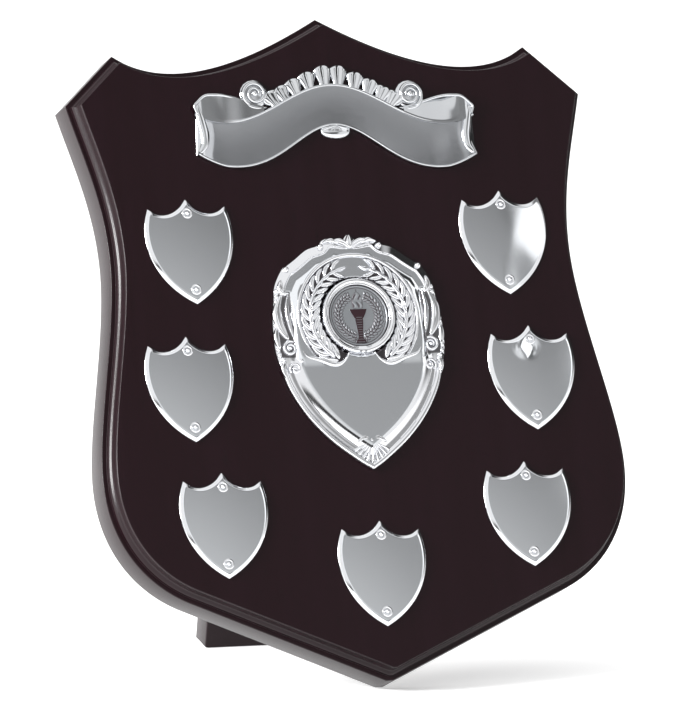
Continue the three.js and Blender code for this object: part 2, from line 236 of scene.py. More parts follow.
def strand(path, width, height, base=0.0, crease=0.0, around=11, sink=0.4):
    """A raised moulding along a flat path: each section is the upper half of an ellipse of that
    half width and height, less a crease down its middle, on a flat underside sunk below base."""
    path = np.asarray(path, float)
    count = len(path)
    width, height, base = (np.broadcast_to(value, count)[:, None] for value in (width, height, base))
    along = np.gradient(path, axis=0)
    along /= np.linalg.norm(along, axis=1, keepdims=True)
    turn = np.linspace(0, np.pi, around)
    across = width * np.cos(turn)
    rise = base + height * (np.sin(turn) - crease * np.exp(-((np.cos(turn) / 0.3) ** 2)))
    across = np.hstack([across, -width, width])
    rise = np.hstack([rise, base - sink, base - sink])
    x = path[:, :1] - along[:, 1:] * across
    y = path[:, 1:] + along[:, :1] * across
    return ring_shell(stack(x, y, rise))


def leaf(path, half_width, height, base, crease=0.35, steps=7):
    """A pointed leaf along a curve: widest and highest a little past its middle, creased."""
    line = spline(path, steps)
    share = np.linspace(0.02, 0.985, len(line))
    swell = np.sin(np.pi * share**0.85)
    return strand(line, half_width * swell**0.8, height * (0.25 + 0.75 * swell**0.6), base, crease)


def coil(centre, start_radius, end_radius, start, turns, half_width, height, base):
    """A strand wound inwards about a centre, thinning towards its middle."""
    share = np.linspace(0, 1, int(26 * abs(turns)) + 2)
    radius = start_radius + (end_radius - start_radius) * share
    angle = math.radians(start) + 2 * np.pi * turns * share
    path = np.stack([centre[0] + radius * np.cos(angle), centre[1] + radius * np.sin(angle)], 1)
    taper = smoothstep(share, -0.2, 0.12)
    return strand(path, half_width * taper * (1 - 0.3 * share), height * taper, base)


def bead(x, y, radius, height, base, stretch=1.0):
    """A half-round bead: rings of a quarter ellipse drawn in to its summit."""
    angles = np.linspace(0, 2 * np.pi, 16, endpoint=False)
    rise = np.linspace(0, np.pi / 2, 6)[:-1, None]
    ring_x = x + radius * np.cos(rise) * np.cos(angles)
    ring_y = y + stretch * radius * np.cos(rise) * np.sin(angles)
    rings = stack(ring_x, ring_y, base + height * np.sin(rise))
    rings = np.concatenate([rings[:1] - [0, 0, 0.4], rings])
    return ring_shell(rings, (x, y, base + height))


def add_object(name, data):
    """A new object in the scene with the given mesh, camera or light."""
    thing = bpy.data.objects.new(name, data)
    bpy.context.scene.collection.objects.link(thing)
    return thing


def make_piece(name, shell, material, node, smooth_angle=50, mask_name="field"):
    """A mesh object at the origin with its place in its mesh, standing for one CAD node."""
    points, faces, mask = shell
    mesh = bpy.data.meshes.new(name)
    polygons = [polygon for part in faces for polygon in part.tolist()]
    mesh.from_pydata(leaned(points).tolist(), [], polygons)
    layer = mesh.attributes.new(mask_name, "FLOAT", "POINT")
    layer.data.foreach_set("value", mask.astype(np.float32))
    mesh.polygons.foreach_set("use_smooth", np.ones(len(mesh.polygons), bool))
    mesh.set_sharp_from_angle(angle=math.radians(smooth_angle))
    mesh.materials.append(material)
    mesh.update()
    piece = add_object(name, mesh)
    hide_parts(node)
    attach(piece, "root")


# Outlines


def bezier(points, steps):
    """Cubic Bezier through four control points, without its first point."""
    share = np.linspace(0, 1, steps + 1)[1:, None]
    a, b, c, d = np.array(points, float)
    rest = 1 - share
    return rest**3 * a + 3 * rest**2 * share * b + 3 * rest * share**2 * c + share**3 * d


def mirrored_ring(half):
    """A right half from top to bottom, mirrored to one ring that runs counterclockwise."""
    ring = np.vstack([half[::-1], half * [-1, 1]])
    after = np.roll(ring, -1, axis=0)
    return ring[np.hypot(*(after - ring).T) > 1e-4]


def directions(ring):
    """Unit directions of the edges before and after each point of a ring."""
    before = ring - np.roll(ring, 1, axis=0)
    before /= np.linalg.norm(before, axis=1, keepdims=True)
    return before, np.roll(before, -1, axis=0)


def clear_corners(ring, reach):
    """The ring without the points that lie nearer than reach to one of its corners, so that an
    inset doesn't cross itself there."""
    before, after = directions(ring)
    sharp = (before * after).sum(1) < 0.94
    away = np.linalg.norm(ring[:, None] - ring[sharp][None], axis=2).min(1)
    return ring[sharp | (away > reach)]


def inset(ring, distance):
    """The ring moved inwards square to its edges, its corners kept sharp."""
    before, after = directions(ring)
    inward = np.stack([-before[:, 1] - after[:, 1], before[:, 0] + after[:, 0]], 1)
    return ring + inward * distance / (1 + (before * after).sum(1, keepdims=True))


def board_outline(steps):
    """The board's outline from its peak, ear, shoulder, waist, bulge and flank down to its tip."""
    scale = np.array([BOARD_WIDTH / 2, BOARD_HEIGHT])
    peak, ear, shoulder = (0, 1), (0.794, 0.951), (0.991, 0.8765)
    waist, bulge, flank = (0.885, 0.645), (1, 0.312), (0.714, 0.126)
    half = [np.array([peak]) * scale]
    half.append(bezier([peak, (0.2, 0.955), (0.56, 0.883), ear], steps) * scale)
    half.append(np.array([shoulder]) * scale)
    half.append(bezier([shoulder, (0.945, 0.8), (0.885, 0.735), waist], steps) * scale)
    half.append(bezier([waist, (0.885, 0.54), (1, 0.4), bulge], steps) * scale)
    half.append(bezier([bulge, (1, 0.215), (0.87, 0.153), flank], steps) * scale)
    half.append(np.array([[TIP_FLAT / 2, 0.0]]))
    return clear_corners(mirrored_ring(np.vstack(half)), 5.0)


def badge_outline(steps):
    """A small shield's outline: a hollow from its peak to each ear, then a full curve to its tip."""
    scale = np.array([BADGE_WIDTH / 2, BADGE_HEIGHT])
    peak, ear, tip = (0, 0), (0.875, -0.08), (0, -1)
    half = [np.array([peak]) * scale]
    half.append(bezier([peak, (0.17, -0.12), (0.56, -0.207), ear], steps) * scale)
    half.append(bezier([ear, (1.144, -0.345), (1.011, -0.759), tip], 2 * steps) * scale)
    return clear_corners(mirrored_ring(np.vstack(half)), 2.9)


# Materials


def linear(hex_colour):
    """An sRGB hex colour as linear red, green, blue and alpha."""
    channels = [int(hex_colour[i : i + 2], 16) / 255 for i in (1, 3, 5)]
    return [c / 12.92 if c <= 0.04045 else ((c + 0.055) / 1.055) ** 2.4 for c in channels] + [1.0]


def add_node(tree, kind, settings=None, inputs=None, output=None):
    """A shader node with its settings; inputs name or number its sockets, each with a constant or
    with the output socket that feeds it. Gives back the named output, or the first live one."""
    node = tree.nodes.new(kind)
    for name, value in (settings or {}).items():
        setattr(node, name, value)
    for name, value in (inputs or {}).items():
        if isinstance(value, bpy.types.NodeSocket):
            tree.links.new(value, node.inputs[name])
        else:
            node.inputs[name].default_value = value
    if output:
        return node.outputs[output]
    return next((socket for socket in node.outputs if socket.enabled), None)


def new_material(name):
    """An empty node material and its tree."""
    material = bpy.data.materials.new(name)
    material.use_nodes = True
    material.node_tree.nodes.clear()
    return material, material.node_tree


def board_coordinates(tree, scale=(1.0, 1.0, 1.0)):
    """Object coordinates turned upright with the board, so that a grain runs along its height."""
    texture = add_node(tree, "ShaderNodeTexCoord", output="Object")
    upright = add_node(tree, "ShaderNodeMapping", inputs={"Vector": texture, "Rotation": (LEAN, 0, 0)})
    return add_node(tree, "ShaderNodeVectorMath", {"operation": "MULTIPLY"}, {0: upright, 1: scale})


def noise(tree, vector, scale, detail=3.0, roughness=0.5):
    """A noise pattern between 0 and 1."""
    sockets = {"Vector": vector, "Scale": scale, "Detail": detail, "Roughness": roughness}
    return add_node(tree, "ShaderNodeTexNoise", inputs=sockets)


def between(tree, value, low, high, from_low=0.0, from_high=1.0):
    """A value carried from one range to another."""
    ends = {"From Min": from_low, "From Max": from_high, "To Min": low, "To Max": high}
    return add_node(tree, "ShaderNodeMapRange", inputs={"Value": value, **ends})


def blend_colours(tree, share, first, second):
    """A mix of two colours, each a socket or a linear colour."""
    sockets = {0: share, 6: first, 7: second}
    return add_node(tree, "ShaderNodeMix", {"data_type": "RGBA"}, sockets)


def finish_surface(tree, height, strength, distance, inputs):
    """The principled shader with a bump from the height, joined to the material's output."""
    bumped = {"Height": height, "Strength": strength, "Distance": distance}
    normal = add_node(tree, "ShaderNodeBump", inputs=bumped)
    shader = add_node(tree, "ShaderNodeBsdfPrincipled", inputs={**inputs, "Normal": normal})
    add_node(tree, "ShaderNodeOutputMaterial", inputs={"Surface": shader})


def lacquered_mahogany():
    """Mahogany stained nearly black under a satin sprayed lacquer: almost no figure shows, only
    fine upright pores and a faint red-brown streak, and the lacquer mirrors softly at its edges."""
    material, tree = new_material("satin lacquered dark mahogany")
    streaks = noise(tree, board_coordinates(tree, (150, 150, 6)), 1.0, 4.0, 0.55)
    pores = noise(tree, board_coordinates(tree, (1700, 1700, 90)), 1.0, 3.0, 0.7)
    stain = blend_colours(tree, streaks, linear("#120306"), linear("#17050c"))
    open_pore = between(tree, pores, 0.0, 1.0, 0.58, 0.72)
    colour = blend_colours(tree, open_pore, stain, linear("#0c0204"))
    inputs = {"Base Color": colour, "Roughness": between(tree, streaks, 0.22, 0.28), "IOR": 1.33}
    finish_surface(tree, pores, 0.1, 0.00003, inputs)
    return material


def bright_plate(name, field_roughness, field_low, field_high, polish):
    """Pressed sheet with a bright nickel plating: rims and ornament mirror sharply, while the
    attribute 'field' is 1 in the plain areas, which the last polishing leaves a little softer, and
    below zero in the hollows between leaves and on the centre shield's side panels, where a dark
    grey is mixed into the colour as painted shade."""
    material, tree = new_material(name)
    field = add_node(tree, "ShaderNodeAttribute", {"attribute_name": "field"}, output="Fac")
    haze = noise(tree, board_coordinates(tree), 420.0)
    brushed = noise(tree, board_coordinates(tree, (250, 250, 9000)), 1.0, 2.0)
    rough_field = between(tree, haze, field_roughness * 0.85, field_roughness * 1.15)
    sockets = {0: field, 2: 0.11, 3: rough_field}
    roughness = add_node(tree, "ShaderNodeMix", {"data_type": "FLOAT"}, sockets)
    plain = blend_colours(tree, brushed, linear(field_low), linear(field_high))
    polished = blend_colours(tree, field, linear(polish), plain)
    # Painted shade: where the field is below zero, a dark grey is mixed into the colour, in the hollows
    # between leaves and on the side panels
    hollow = between(tree, field, 1.0, 0.0, -1.0, 0.0)
    colour = blend_colours(tree, hollow, polished, linear("#5e5a5d"))
    inputs = {"Base Color": colour, "Roughness": roughness, "Metallic": 1.0}
    finish_surface(tree, haze, 0.05, 0.00002, inputs)
    return material


def antiqued_disc():
    """Struck white metal in a soft silver, mixed towards a dark red-brown where its attribute is high: a
    patina in the hollows round the leaves and the flame, a line inside the rim, the outer edge, and all
    over the raised torch, where the dark is a painted reflection."""
    material, tree = new_material("antiqued struck silver disc")
    wash_and_painted_reflection = add_node(tree, "ShaderNodeAttribute", {"attribute_name": "wash_and_painted_reflection"}, output="Fac")
    grain = noise(tree, board_coordinates(tree), 2600.0)
    silver = blend_colours(tree, grain, linear("#8d9195"), linear("#a3a6aa"))
    # The dark red-brown is the patina in the hollows and, on the torch, a painted reflection
    colour = blend_colours(tree, wash_and_painted_reflection, silver, linear("#3c2b30"))
    inputs = {"Base Color": colour, "Roughness": between(tree, wash_and_painted_reflection, 0.36, 0.6), "Metallic": 0.9}
    finish_surface(tree, grain, 0.25, 0.00003, inputs)
    return material


# Board and leg


def quarter(start, end, rings, hollow=False):
    """A quarter ellipse from start to end, rising first and then running in, or the other way."""
    turn = np.linspace(0, math.pi / 2, rings)
    across, up = (np.sin(turn), 1 - np.cos(turn)) if hollow else (1 - np.cos(turn), np.sin(turn))
    return np.stack([start[0] + (end[0] - start[0]) * across, start[1] + (end[1] - start[1]) * up], 1)


def board_profile():
    """Inset and height pairs from the back to the face: side, ledge, bead, cove and arris."""
    rise = BOARD_THICKNESS - BAND_HEIGHT
    back_edge = 0.5
    bead_foot = (LEDGE_WIDTH, BAND_HEIGHT + 0.14 * rise)
    bead_top = (LEDGE_WIDTH + BEAD_WIDTH, BAND_HEIGHT + 0.33 * rise)
    cove_top = (bead_top[0] + COVE_WIDTH, BOARD_THICKNESS - ARRIS)
    face_edge = (cove_top[0] + ARRIS, BOARD_THICKNESS)
    steps = [
        quarter((back_edge, 0), (0, back_edge), 6, hollow=True),
        quarter((0, BAND_HEIGHT - ARRIS), (ARRIS, BAND_HEIGHT), 6),
        [(LEDGE_WIDTH - 0.15, BAND_HEIGHT), (LEDGE_WIDTH, BAND_HEIGHT + 0.1)],
        0.45 * quarter(bead_foot, bead_top, 10) + 0.55 * np.linspace(bead_foot, bead_top, 10),
        quarter((bead_top[0] + 0.12, bead_top[1] + 0.15), cove_top, 10, hollow=True)[1:],
        quarter(cove_top, face_edge, 7)[1:],
        [(face_edge[0] + 0.5, BOARD_THICKNESS)],
    ]
    return np.vstack(steps)


def board_inset(outline, distance):
    """The outline moved inwards; where the tip's flat has run out, its two corners meet."""
    ring = inset(outline, distance)
    tip = outline[:, 1] < 0.01
    flank = np.ptp(outline[outline[:, 0] > TIP_FLAT / 2][:2], axis=0)
    crossed = tip & (ring[:, 0] * outline[:, 0] < 0)
    rise = np.abs(ring[:, 0]) * flank[1] / flank[0]
    return np.where(crossed[:, None], np.stack([0 * rise, ring[:, 1] + rise], 1), ring)


def build_board(material):
    """The outline inset along the profile, ring over ring, closed by a flat back; the face is
    drawn in to its middle."""
    outline = board_outline(48)
    rings = [stack(*board_inset(outline, distance).T, height) for distance, height in board_profile()]
    middle = np.array([0, 0.5 * BOARD_HEIGHT, BOARD_THICKNESS])
    rings += [middle + (rings[-1] - middle) * share for share in np.linspace(1, 0, 12)[1:-1]]
    shell = ring_shell(np.stack(rings), middle)
    make_piece("board_lacquered", shell, material, "board", 28)


def build_leg(material):
    """The leg's side drawn once and carried across its width, its edges eased at both sides."""
    seat = np.array([LEG_TOP, -CLEARANCE])
    foot, heel = np.array(FOOT), np.array(HEEL)
    up = np.array([math.cos(LEG_ANGLE), math.sin(LEG_ANGLE)])
    top = heel + up * (-CLEARANCE - heel[1]) / up[1]
    side = np.array([foot, heel, top, seat])
    ease = 0.8
    turn = np.linspace(0, math.pi / 2, 5)
    drawn_in = np.concatenate([ease * (1 - np.sin(turn)), ease * (1 - np.sin(turn[::-1]))])
    edge = LEG_WIDTH / 2 - ease * (1 - np.cos(turn))
    across = np.concatenate([-edge, edge[::-1]])
    rings = [stack(x, *inset(side, distance).T) for x, distance in zip(across, drawn_in)]
    make_piece("leg_lacquered", ring_shell(np.stack(rings)), material, "leg", 50)


# Small shields and pins


# How far from a pin's axis, and how far above the plate, the lip pressed up round it runs
SEAT_PROFILE = [
    (2.2, -0.4), (2.2, -0.03), (2.02, 0.12), (1.84, 0.21), (1.68, 0.22), (1.5, 0.12),
    (1.28, -0.03), (1.0, -0.2),
]


def pin_seat(pin_y, level):
    """The round seat that a pin draws into the plate: its lip's profile turned about the axis."""
    angles = np.linspace(0, 2 * math.pi, 36, endpoint=False)
    away, rise = spline(SEAT_PROFILE, 3).T
    rings = stack(away[:, None] * np.cos(angles), away[:, None] * np.sin(angles), rise[:, None])
    return placed(ring_shell(rings, (0, 0, rise[-1])), 0, pin_y, level)


def plate_warp(name, x, y):
    """How each pressed sheet departs from flat: a slight dome, and on the right side of the board
    one sheet that falls away towards its edge and one with a shallow dent."""
    dome = 0.2 * (1 - (x / 19) ** 2 - ((y + 20) / 24) ** 2)
    if name == "top_right":
        return dome - 0.0027 * np.maximum(0, x) ** 2 - 0.001 * (y + 17) ** 2 * smoothstep(x, -3, 8)
    if name == "middle_right":
        away = np.hypot((x + 1.9) / 4.1, (y + 9.4) / 3.9)
        return dome - 0.19 * (x + 1.9) * np.exp(-(away**4))
    return dome


def on_board(shell, across, up, turn):
    """A shell set on the board's face, at shares of its half width and height, turned in degrees."""
    return placed(shell, across * BOARD_WIDTH / 2, up * BOARD_HEIGHT, ON_FACE, math.radians(turn))


def build_badge(name, place, material):
    """Insets of the outline over the rolled rim, then rings drawn in to the middle of the sheet."""
    outline = badge_outline(28)
    rim_width = 1.35
    middle = np.array([0, -0.46 * BADGE_HEIGHT])
    inner = inset(outline, rim_width)
    rim_shares = np.linspace(0, 1, 14)
    flat_rings = [inset(outline, rim_width * share) for share in rim_shares]
    draws = np.linspace(0, 1, 46)[1:-1] ** 0.9
    flat_rings += [inner + (middle - inner) * share for share in draws]
    flat = np.stack([outline] + flat_rings)
    rise = np.concatenate([[0], rim_shares**0.8, np.ones(len(draws))])[:, None]
    x, y = flat[..., 0], flat[..., 1]
    height = BADGE_EDGE + (BADGE_FIELD - BADGE_EDGE + plate_warp(name, x, y)) * rise
    height[0] = 0
    mask = np.broadcast_to((rise > 0.99).astype(float), height.shape)
    summit = (*middle, BADGE_FIELD + float(plate_warp(name, *middle)))
    shells = [ring_shell(stack(x, y, height), summit, mask)]
    for pin_y in PIN_PLACES.values():
        shells.append(pin_seat(pin_y, BADGE_FIELD + float(plate_warp(name, 0, pin_y))))
    shell = on_board(joined(shells), *place)
    make_piece(f"plate_{name}", shell, material, f"shield_{name}", 60)


def build_pins(name, place, material):
    """Domed heads: a quarter ellipse turned about its axis, sunk in their seats."""
    angles = np.linspace(0, 2 * math.pi, 32, endpoint=False)
    rise = np.linspace(0, math.pi / 2, 9)[:-1, None]
    radius, height = PIN_RADIUS * np.cos(rise), PIN_HEIGHT + PIN_SUNK
    rings = stack(radius * np.cos(angles), radius * np.sin(angles), height * np.sin(rise))
    dome = ring_shell(rings, (0, 0, height))
    for end, y in PIN_PLACES.items():
        head = on_board(placed(dome, 0, y, BADGE_RELIEF - PIN_SUNK), *place)
        make_piece(f"head_{name}_{end}", head, material, f"pin_{name}_{end}")


# Ribbon scroll, drawn about its own centre

# Lobes of the comb: how far out, how high the tip is and how far it leans, in radians
GADROONS = [
    (3.2, 26.2, 0.06), (10.2, 23.4, 0.2), (16.4, 20.4, 0.36), (21.8, 17.3, 0.5), (26.4, 15.0, 0.6),
]
# Right volute: its centre and its radius
VOLUTE = (33.4, 14.2, 6.1)
FOLD_HEIGHT = 2.15


def ribbon_top(x):
    """Upper edge of the ribbon: one long wave, highest in the middle."""
    return 10.6 + 7.7 * np.cos(np.pi * x / 46)


def ribbon_bottom(x):
    """Lower edge: the same wave, a little sharper in the middle, and lifted at the two ends."""
    phase = np.pi * x / 43.5
    return -8 + 8.8 * np.cos(phase) - 1.5 * np.sin(phase) ** 2 + 7 * np.maximum(0, np.abs(x) / 60 - 0.8)


def fold_top(x):
    """Upper edge of the rolled-over end, which leaves the ribbon's edge and rises to the corner."""
    side = np.abs(x)
    return 8 + 6 * smoothstep(side, 24, 50) - 4.5 * smoothstep(side, 52, 61) ** 2


def ribbon_shell():
    """The ribbon: columns between its lower and upper edge, dished between its rims, with its two
    ends drawn in towards their middles and turned up."""
    columns, rows = 360, 60
    x = np.linspace(-60, 60, columns)[None, :]
    share = np.linspace(0, 1, rows)[:, None]
    low, high = ribbon_bottom(x), ribbon_top(x)
    y = low + (high - low) * share
    side = np.abs(x)
    drawn_in = 2.6 * np.sin(np.pi * np.clip((y + 10.5) / 19, 0, 1)) * smoothstep(side, 46, 60)
    px = x - drawn_in * np.sign(x)
    waves = 0.3 * np.cos(np.pi * x / 46) - 0.25 * smoothstep(side, 40, 52)
    height = 1.25 + waves + 0.3 * (2 * share - 1) ** 2 + 0.5 * smoothstep(side, 53, 58)
    mask = smoothstep(np.minimum(y - low, high - y), 0.9, 1.3) * smoothstep(57 - side, -0.5, 0.5)
    return sheet_shell(px, y, height, mask)


def fold_shell(rise, fall):
    """The right rolled-over end behind the ribbon: it rises by so much from the volute towards its
    corner, and falls by so much per millimetre towards its upper edge."""
    columns, rows = 120, 36
    x = np.linspace(30, 59.6, columns)[None, :]
    share = np.linspace(0, 1, rows)[:, None]
    tuck = 1.2
    low, high = ribbon_top(x) - tuck, fold_top(x)
    y = low + (high - low) * share
    ramp = smoothstep(x, 35, 50.5)
    drop = fall * np.maximum(0, y - low - tuck) * smoothstep(x, 54, 47)
    height = FOLD_HEIGHT - rise * (1 - ramp) - drop
    height = height - 0.9 * smoothstep(x, 56.5, 60)
    return sheet_shell(x, y, height, np.full((rows, columns), 0.3))


def scroll_rims():
    """Half-round rims along the ribbon's edges, round its folds and down its two ends."""
    x = np.linspace(-59.6, 59.6, 240)
    edge_rim = 0.52
    rims = []
    for edge, inward in ((ribbon_top, -1), (ribbon_bottom, 1)):
        slope = np.gradient(edge(x), x)
        across = inward * edge_rim / np.hypot(slope, 1)
        path = np.stack([x - slope * across, edge(x) + across], 1)
        rims.append(strand(path, edge_rim, 0.85, 1.15, sink=1.0))
    end = [(58.6, 9.4), (57.9, 6), (57.0, 1.8), (56.2, -3), (56.7, -7.4), (58.9, -10.3)]
    line = spline(end, 10)
    swell = np.sin(np.pi * np.linspace(0.06, 0.94, len(line))) ** 0.5
    rims += both_sides([strand(line, 1.9 * swell, 1.25 * swell, 1.2, sink=1.0)])
    x = np.linspace(30, 59.4, 80)
    path = np.stack([x, fold_top(x) - 0.5], 1)
    corner = spline([path[-1], (59.9, 8.6), (59.0, 6.0)], 8)
    path = np.vstack([path, corner[1:]])
    base = 0.3 + 1.6 * smoothstep(path[:, 0], 37, 51)
    rims += both_sides([strand(path, 0.6, 0.75, base, sink=0.6)])
    return rims


def gadroon(centre, tip, lean):
    """One lobe of the comb: a flute that widens to a round tip, its middle pressed in."""
    share = np.linspace(0, 1, 26)
    foot_x = centre - 0.5 * (tip - ribbon_top(centre)) * math.tan(lean)
    root = ribbon_top(foot_x) - 0.3
    y = root + (tip - root) * share
    path = np.stack([foot_x + (y - root) * math.tan(lean), y], 1)
    round_tip = np.sqrt(np.clip(1 - (np.maximum(0, share - 0.72) / 0.28) ** 2, 0.03, 1))
    width = (2.3 + 1.65 * smoothstep(share, 0, 0.8)) * round_tip
    return strand(path, width, (1.5 + 0.7 * share) * round_tip**0.6, 0.35, crease=0.55, around=19)


def volute_shells():
    """The right volute: a low domed disc with a strand wound on it and a tail along the fold."""
    x, y, radius = VOLUTE
    tail = spline([(28.6, 8.6), (32, 8.2), (36, 9.2), (39.2, 12.0)], 8)
    fade = np.sin(np.pi * np.linspace(0.08, 0.92, len(tail)))
    return [
        bead(x, y, radius, 1.15, 0.0),
        coil(VOLUTE[:2], radius - 0.9, 1.7, -60, 1.7, 0.95, 1.15, 0.95),
        bead(x, y, 1.35, 1.3, 1.2),
        strand(tail, 0.85 * fade, 1.3 * fade, 0.5),
        leaf([(29.5, 13.0), (28.2, 10.8), (25.2, 9.6)], 1.5, 1.5, 0.4),
    ]


def boss_shells():
    """The little shell hung in the middle of the lower edge: a low dome under a fan of ribs."""
    shells = [bead(0, -1.2, 6.5, 1.7, 0.4, stretch=0.52)]
    share = np.linspace(0.12, 1, 14)
    for angle in np.radians(np.linspace(-78, 78, 7)):
        reach = 3.2 + 2.9 * abs(math.sin(angle))
        down = 0.7 - (reach + 0.7) * share * math.cos(angle)
        path = np.stack([reach * share * math.sin(angle), down], 1)
        arch = 0.75 * bump(share, 0.5, 0.55)
        shells.append(strand(path, 0.35 + 0.5 * share, arch, 1.75 - share * 0.9))
    return shells


def build_scroll(material):
    """Ribbon, folds, rims, comb, volutes and boss, joined and set turned on the face."""
    folds = [fold_shell(0.3, 0.2), mirrored_shell(fold_shell(0.6, 0.02))]
    shells = [ribbon_shell()] + folds + scroll_rims() + boss_shells()
    shells += both_sides([gadroon(*lobe) for lobe in GADROONS] + volute_shells())
    shell = placed(joined(shells), 0, SCROLL_CENTRE * BOARD_HEIGHT, ON_FACE, SCROLL_TURN)
    make_piece("scroll_relief", shell, material, "scroll", 60)


# Centre shield, drawn about the disc's centre

CREST_OUTLINE = [
    (0.0, 0.351), (0.03, 0.346), (0.06, 0.333), (0.12, 0.334), (0.22, 0.339), (0.31, 0.33),
    (0.37, 0.308), (0.51, 0.291), (0.66, 0.251), (0.76, 0.226), (0.81, 0.216), (0.89, 0.17),
    (0.935, 0.13), (0.953, 0.085), (0.99, 0.0), (1.0, -0.09), (0.99, -0.145), (0.957, -0.2),
    (0.895, -0.285), (0.79, -0.366), (0.64, -0.448), (0.43, -0.531), (0.16, -0.611), (0.0, -0.649),
]
# Lower edge of the wreath's bed: how far out, and how far below the disc's centre
BED_EDGE = [
    (0, -13.0), (5, -14.6), (7, -17.4), (10, -19.5), (13, -19.6), (18, -18.0), (24.5, -16.0), (40, -12.0),
]
BED_HEIGHT = 2.0
BAND_WIDTH = 3.5
WREATH_RADIUS = 20.6
WIRE_RADIUS = 25.5
HOLLOW_RADIUS = DISC_RADIUS + CLEARANCE


def crest_ring(angles):
    """The centre shield's outline, sampled where rays at these angles from the disc cross it."""
    half = spline(CREST_OUTLINE, 12) * [CREST_WIDTH / 2, CREST_HEIGHT]
    from_top = np.arctan2(half[:, 0], half[:, 1])
    turn = np.abs(np.angle(np.exp(1j * (np.pi / 2 - angles))))
    reach = np.interp(turn, from_top, np.hypot(*half.T))
    return np.stack([reach * np.cos(angles), reach * np.sin(angles)], 1)


def distance_to(ring, x, y):
    """Distance from each grid point to the nearest point of a closely sampled outline."""
    rows = [np.hypot(a[:, None] - ring[:, 0], b[:, None] - ring[:, 1]).min(1) for a, b in zip(x, y)]
    return np.stack(rows)


def crest_ground(x, y, edge):
    """Height under the ornament: border bands by distance from the edge, the plaque's slab, the
    wreath's bed inside the wire, and the holder's ring with a groove round it."""
    radius, side = np.hypot(x, y), np.abs(x)
    bed_edge = np.interp(side, *np.array(BED_EDGE).T)
    upper = smoothstep(y, -20.5, -15.5)
    round_band = CREST_EDGE + 1.85 * np.minimum(edge, BAND_WIDTH) / BAND_WIDTH
    round_band = round_band - 0.75 * smoothstep(edge, BAND_WIDTH, BAND_WIDTH + 0.6)
    medallion = 0.85 * smoothstep(edge, 6.6, 10.0) * (radius > WIRE_RADIUS)
    panel = CREST_EDGE + 0.5 * smoothstep(edge, 0, 1.5)
    at_side = smoothstep(side, 27, 28.5) * (1 - smoothstep(y, 9, 11.5))
    top = (round_band + medallion) * (1 - at_side) + panel * at_side
    border = CREST_EDGE + 0.95 * bump(edge, 1.15, 1.15) + 0.15 * smoothstep(edge, 2.3, 3)
    plaque = border + 1.65 * np.sin(np.pi / 2 * np.clip((edge - 4.6) / 4.4, 0, 1))
    height = plaque * (1 - upper) + top * upper
    inside = 1 - smoothstep(radius, WIRE_RADIUS - 0.3, WIRE_RADIUS + 0.3)
    field = plaque * inside + height * (1 - inside)
    on_bed = smoothstep(y - bed_edge, 0, 0.4) * inside
    height = field * (1 - on_bed) + BED_HEIGHT * on_bed
    hollow = HOLLOW_RADIUS
    roll = CREST_RELIEF - 0.9 + 0.9 * bump(radius, hollow + 1.75, 0.95)
    lip = CREST_RELIEF - 0.9 + 0.45 * bump(radius, hollow + 0.45, 0.5)
    outside = smoothstep(radius, hollow + 2.6, hollow + 2.75)
    groove = 1 - 0.55 * (1 - smoothstep(radius, hollow + 2.8, hollow + 3.9))
    height = np.maximum(roll, lip) * (1 - outside) + height * groove * outside
    between_branches = (side < 0.36 * radius) & (y > 0)
    plain = (edge > 4.2) & (radius > hollow + 3.6) & ((on_bed < 0.05) | between_branches)
    plain = plain & ((edge > 8.0) | (y > -15)) & (at_side < 0.5)
    # Painted shade: the wreath's bed between the leaves is marked -1 and the side panels -0.8, so that the
    # plate's colour is darkened there
    dark = (on_bed > 0.5) & (radius > hollow + 2.8) & (radius < WIRE_RADIUS - 0.5) & ~plain
    shaded = (at_side > 0.5) & (edge > 1.8) & (y > -16) & (radius > WIRE_RADIUS + 0.5)
    return height, plain - 1.0 * dark - 0.8 * shaded


def crest_plate():
    """Rays from the disc's centre, each running in from the outline to the holder's hollow."""
    rays, steps = ((600, 106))
    angles = np.linspace(-np.pi, np.pi, rays, endpoint=False)
    ring = crest_ring(angles)
    reach = np.hypot(*ring.T)
    floor = CREST_RELIEF - HOLDER_DEPTH - DISC_THICKNESS - CLEARANCE
    share = np.linspace(0, 1, steps)[:, None]
    radius = reach + (HOLLOW_RADIUS - reach) * share
    x, y = radius * np.cos(angles), radius * np.sin(angles)
    close_ring = crest_ring(np.linspace(-np.pi, np.pi, 1400, endpoint=False))
    # The second value is the plain mask, below zero where shade is painted
    height, plain = crest_ground(x, y, distance_to(close_ring, x, y))
    rim = stack(*ring.T, 0.0)[None]
    wall = stack(HOLLOW_RADIUS * np.cos(angles), HOLLOW_RADIUS * np.sin(angles), floor)[None]
    rings = np.concatenate([rim, stack(x, y, height), wall])
    mask = np.concatenate([plain[:1], plain, plain[-1:] * 0])
    return ring_shell(rings, (0, 0, floor), mask)


def branch_line(angle, turns, radii):
    """Points on the right branch, at angles from straight below the disc's centre."""
    angles = angle + np.array(turns)
    return np.stack([radii * np.sin(angles), -radii * np.cos(angles)], 1)


def wreath_leaves():
    """Right branch of laurel: pairs of leaves that spread from its stem, with one along it, each
    lapped over the next, from the curl at its foot to the two that nearly meet at the top."""
    shells = []
    count = 12
    for number in range(count):
        angle = 0.52 + 0.196 * number
        taper = 1.0 - 0.3 * (number / (count - 1)) ** 2
        turns = 0.36 * taper * np.array([0, 0.5, 1])
        inner = branch_line(angle, turns, WREATH_RADIUS - np.array([0.4, 2.8, 4.0]))
        outer = branch_line(angle, turns, WREATH_RADIUS + np.array([0.4, 2.7, 3.6]))
        middle = branch_line(angle + 0.09, turns, WREATH_RADIUS + np.array([0.2, -0.3, 0.3]))
        for path, half_width, rise in ((inner, 1.35, 1.8), (outer, 1.35, 1.8), (middle, 1.2, 2.2)):
            shells.append(leaf(path, half_width * taper, rise, BED_HEIGHT - 0.05))
    return shells


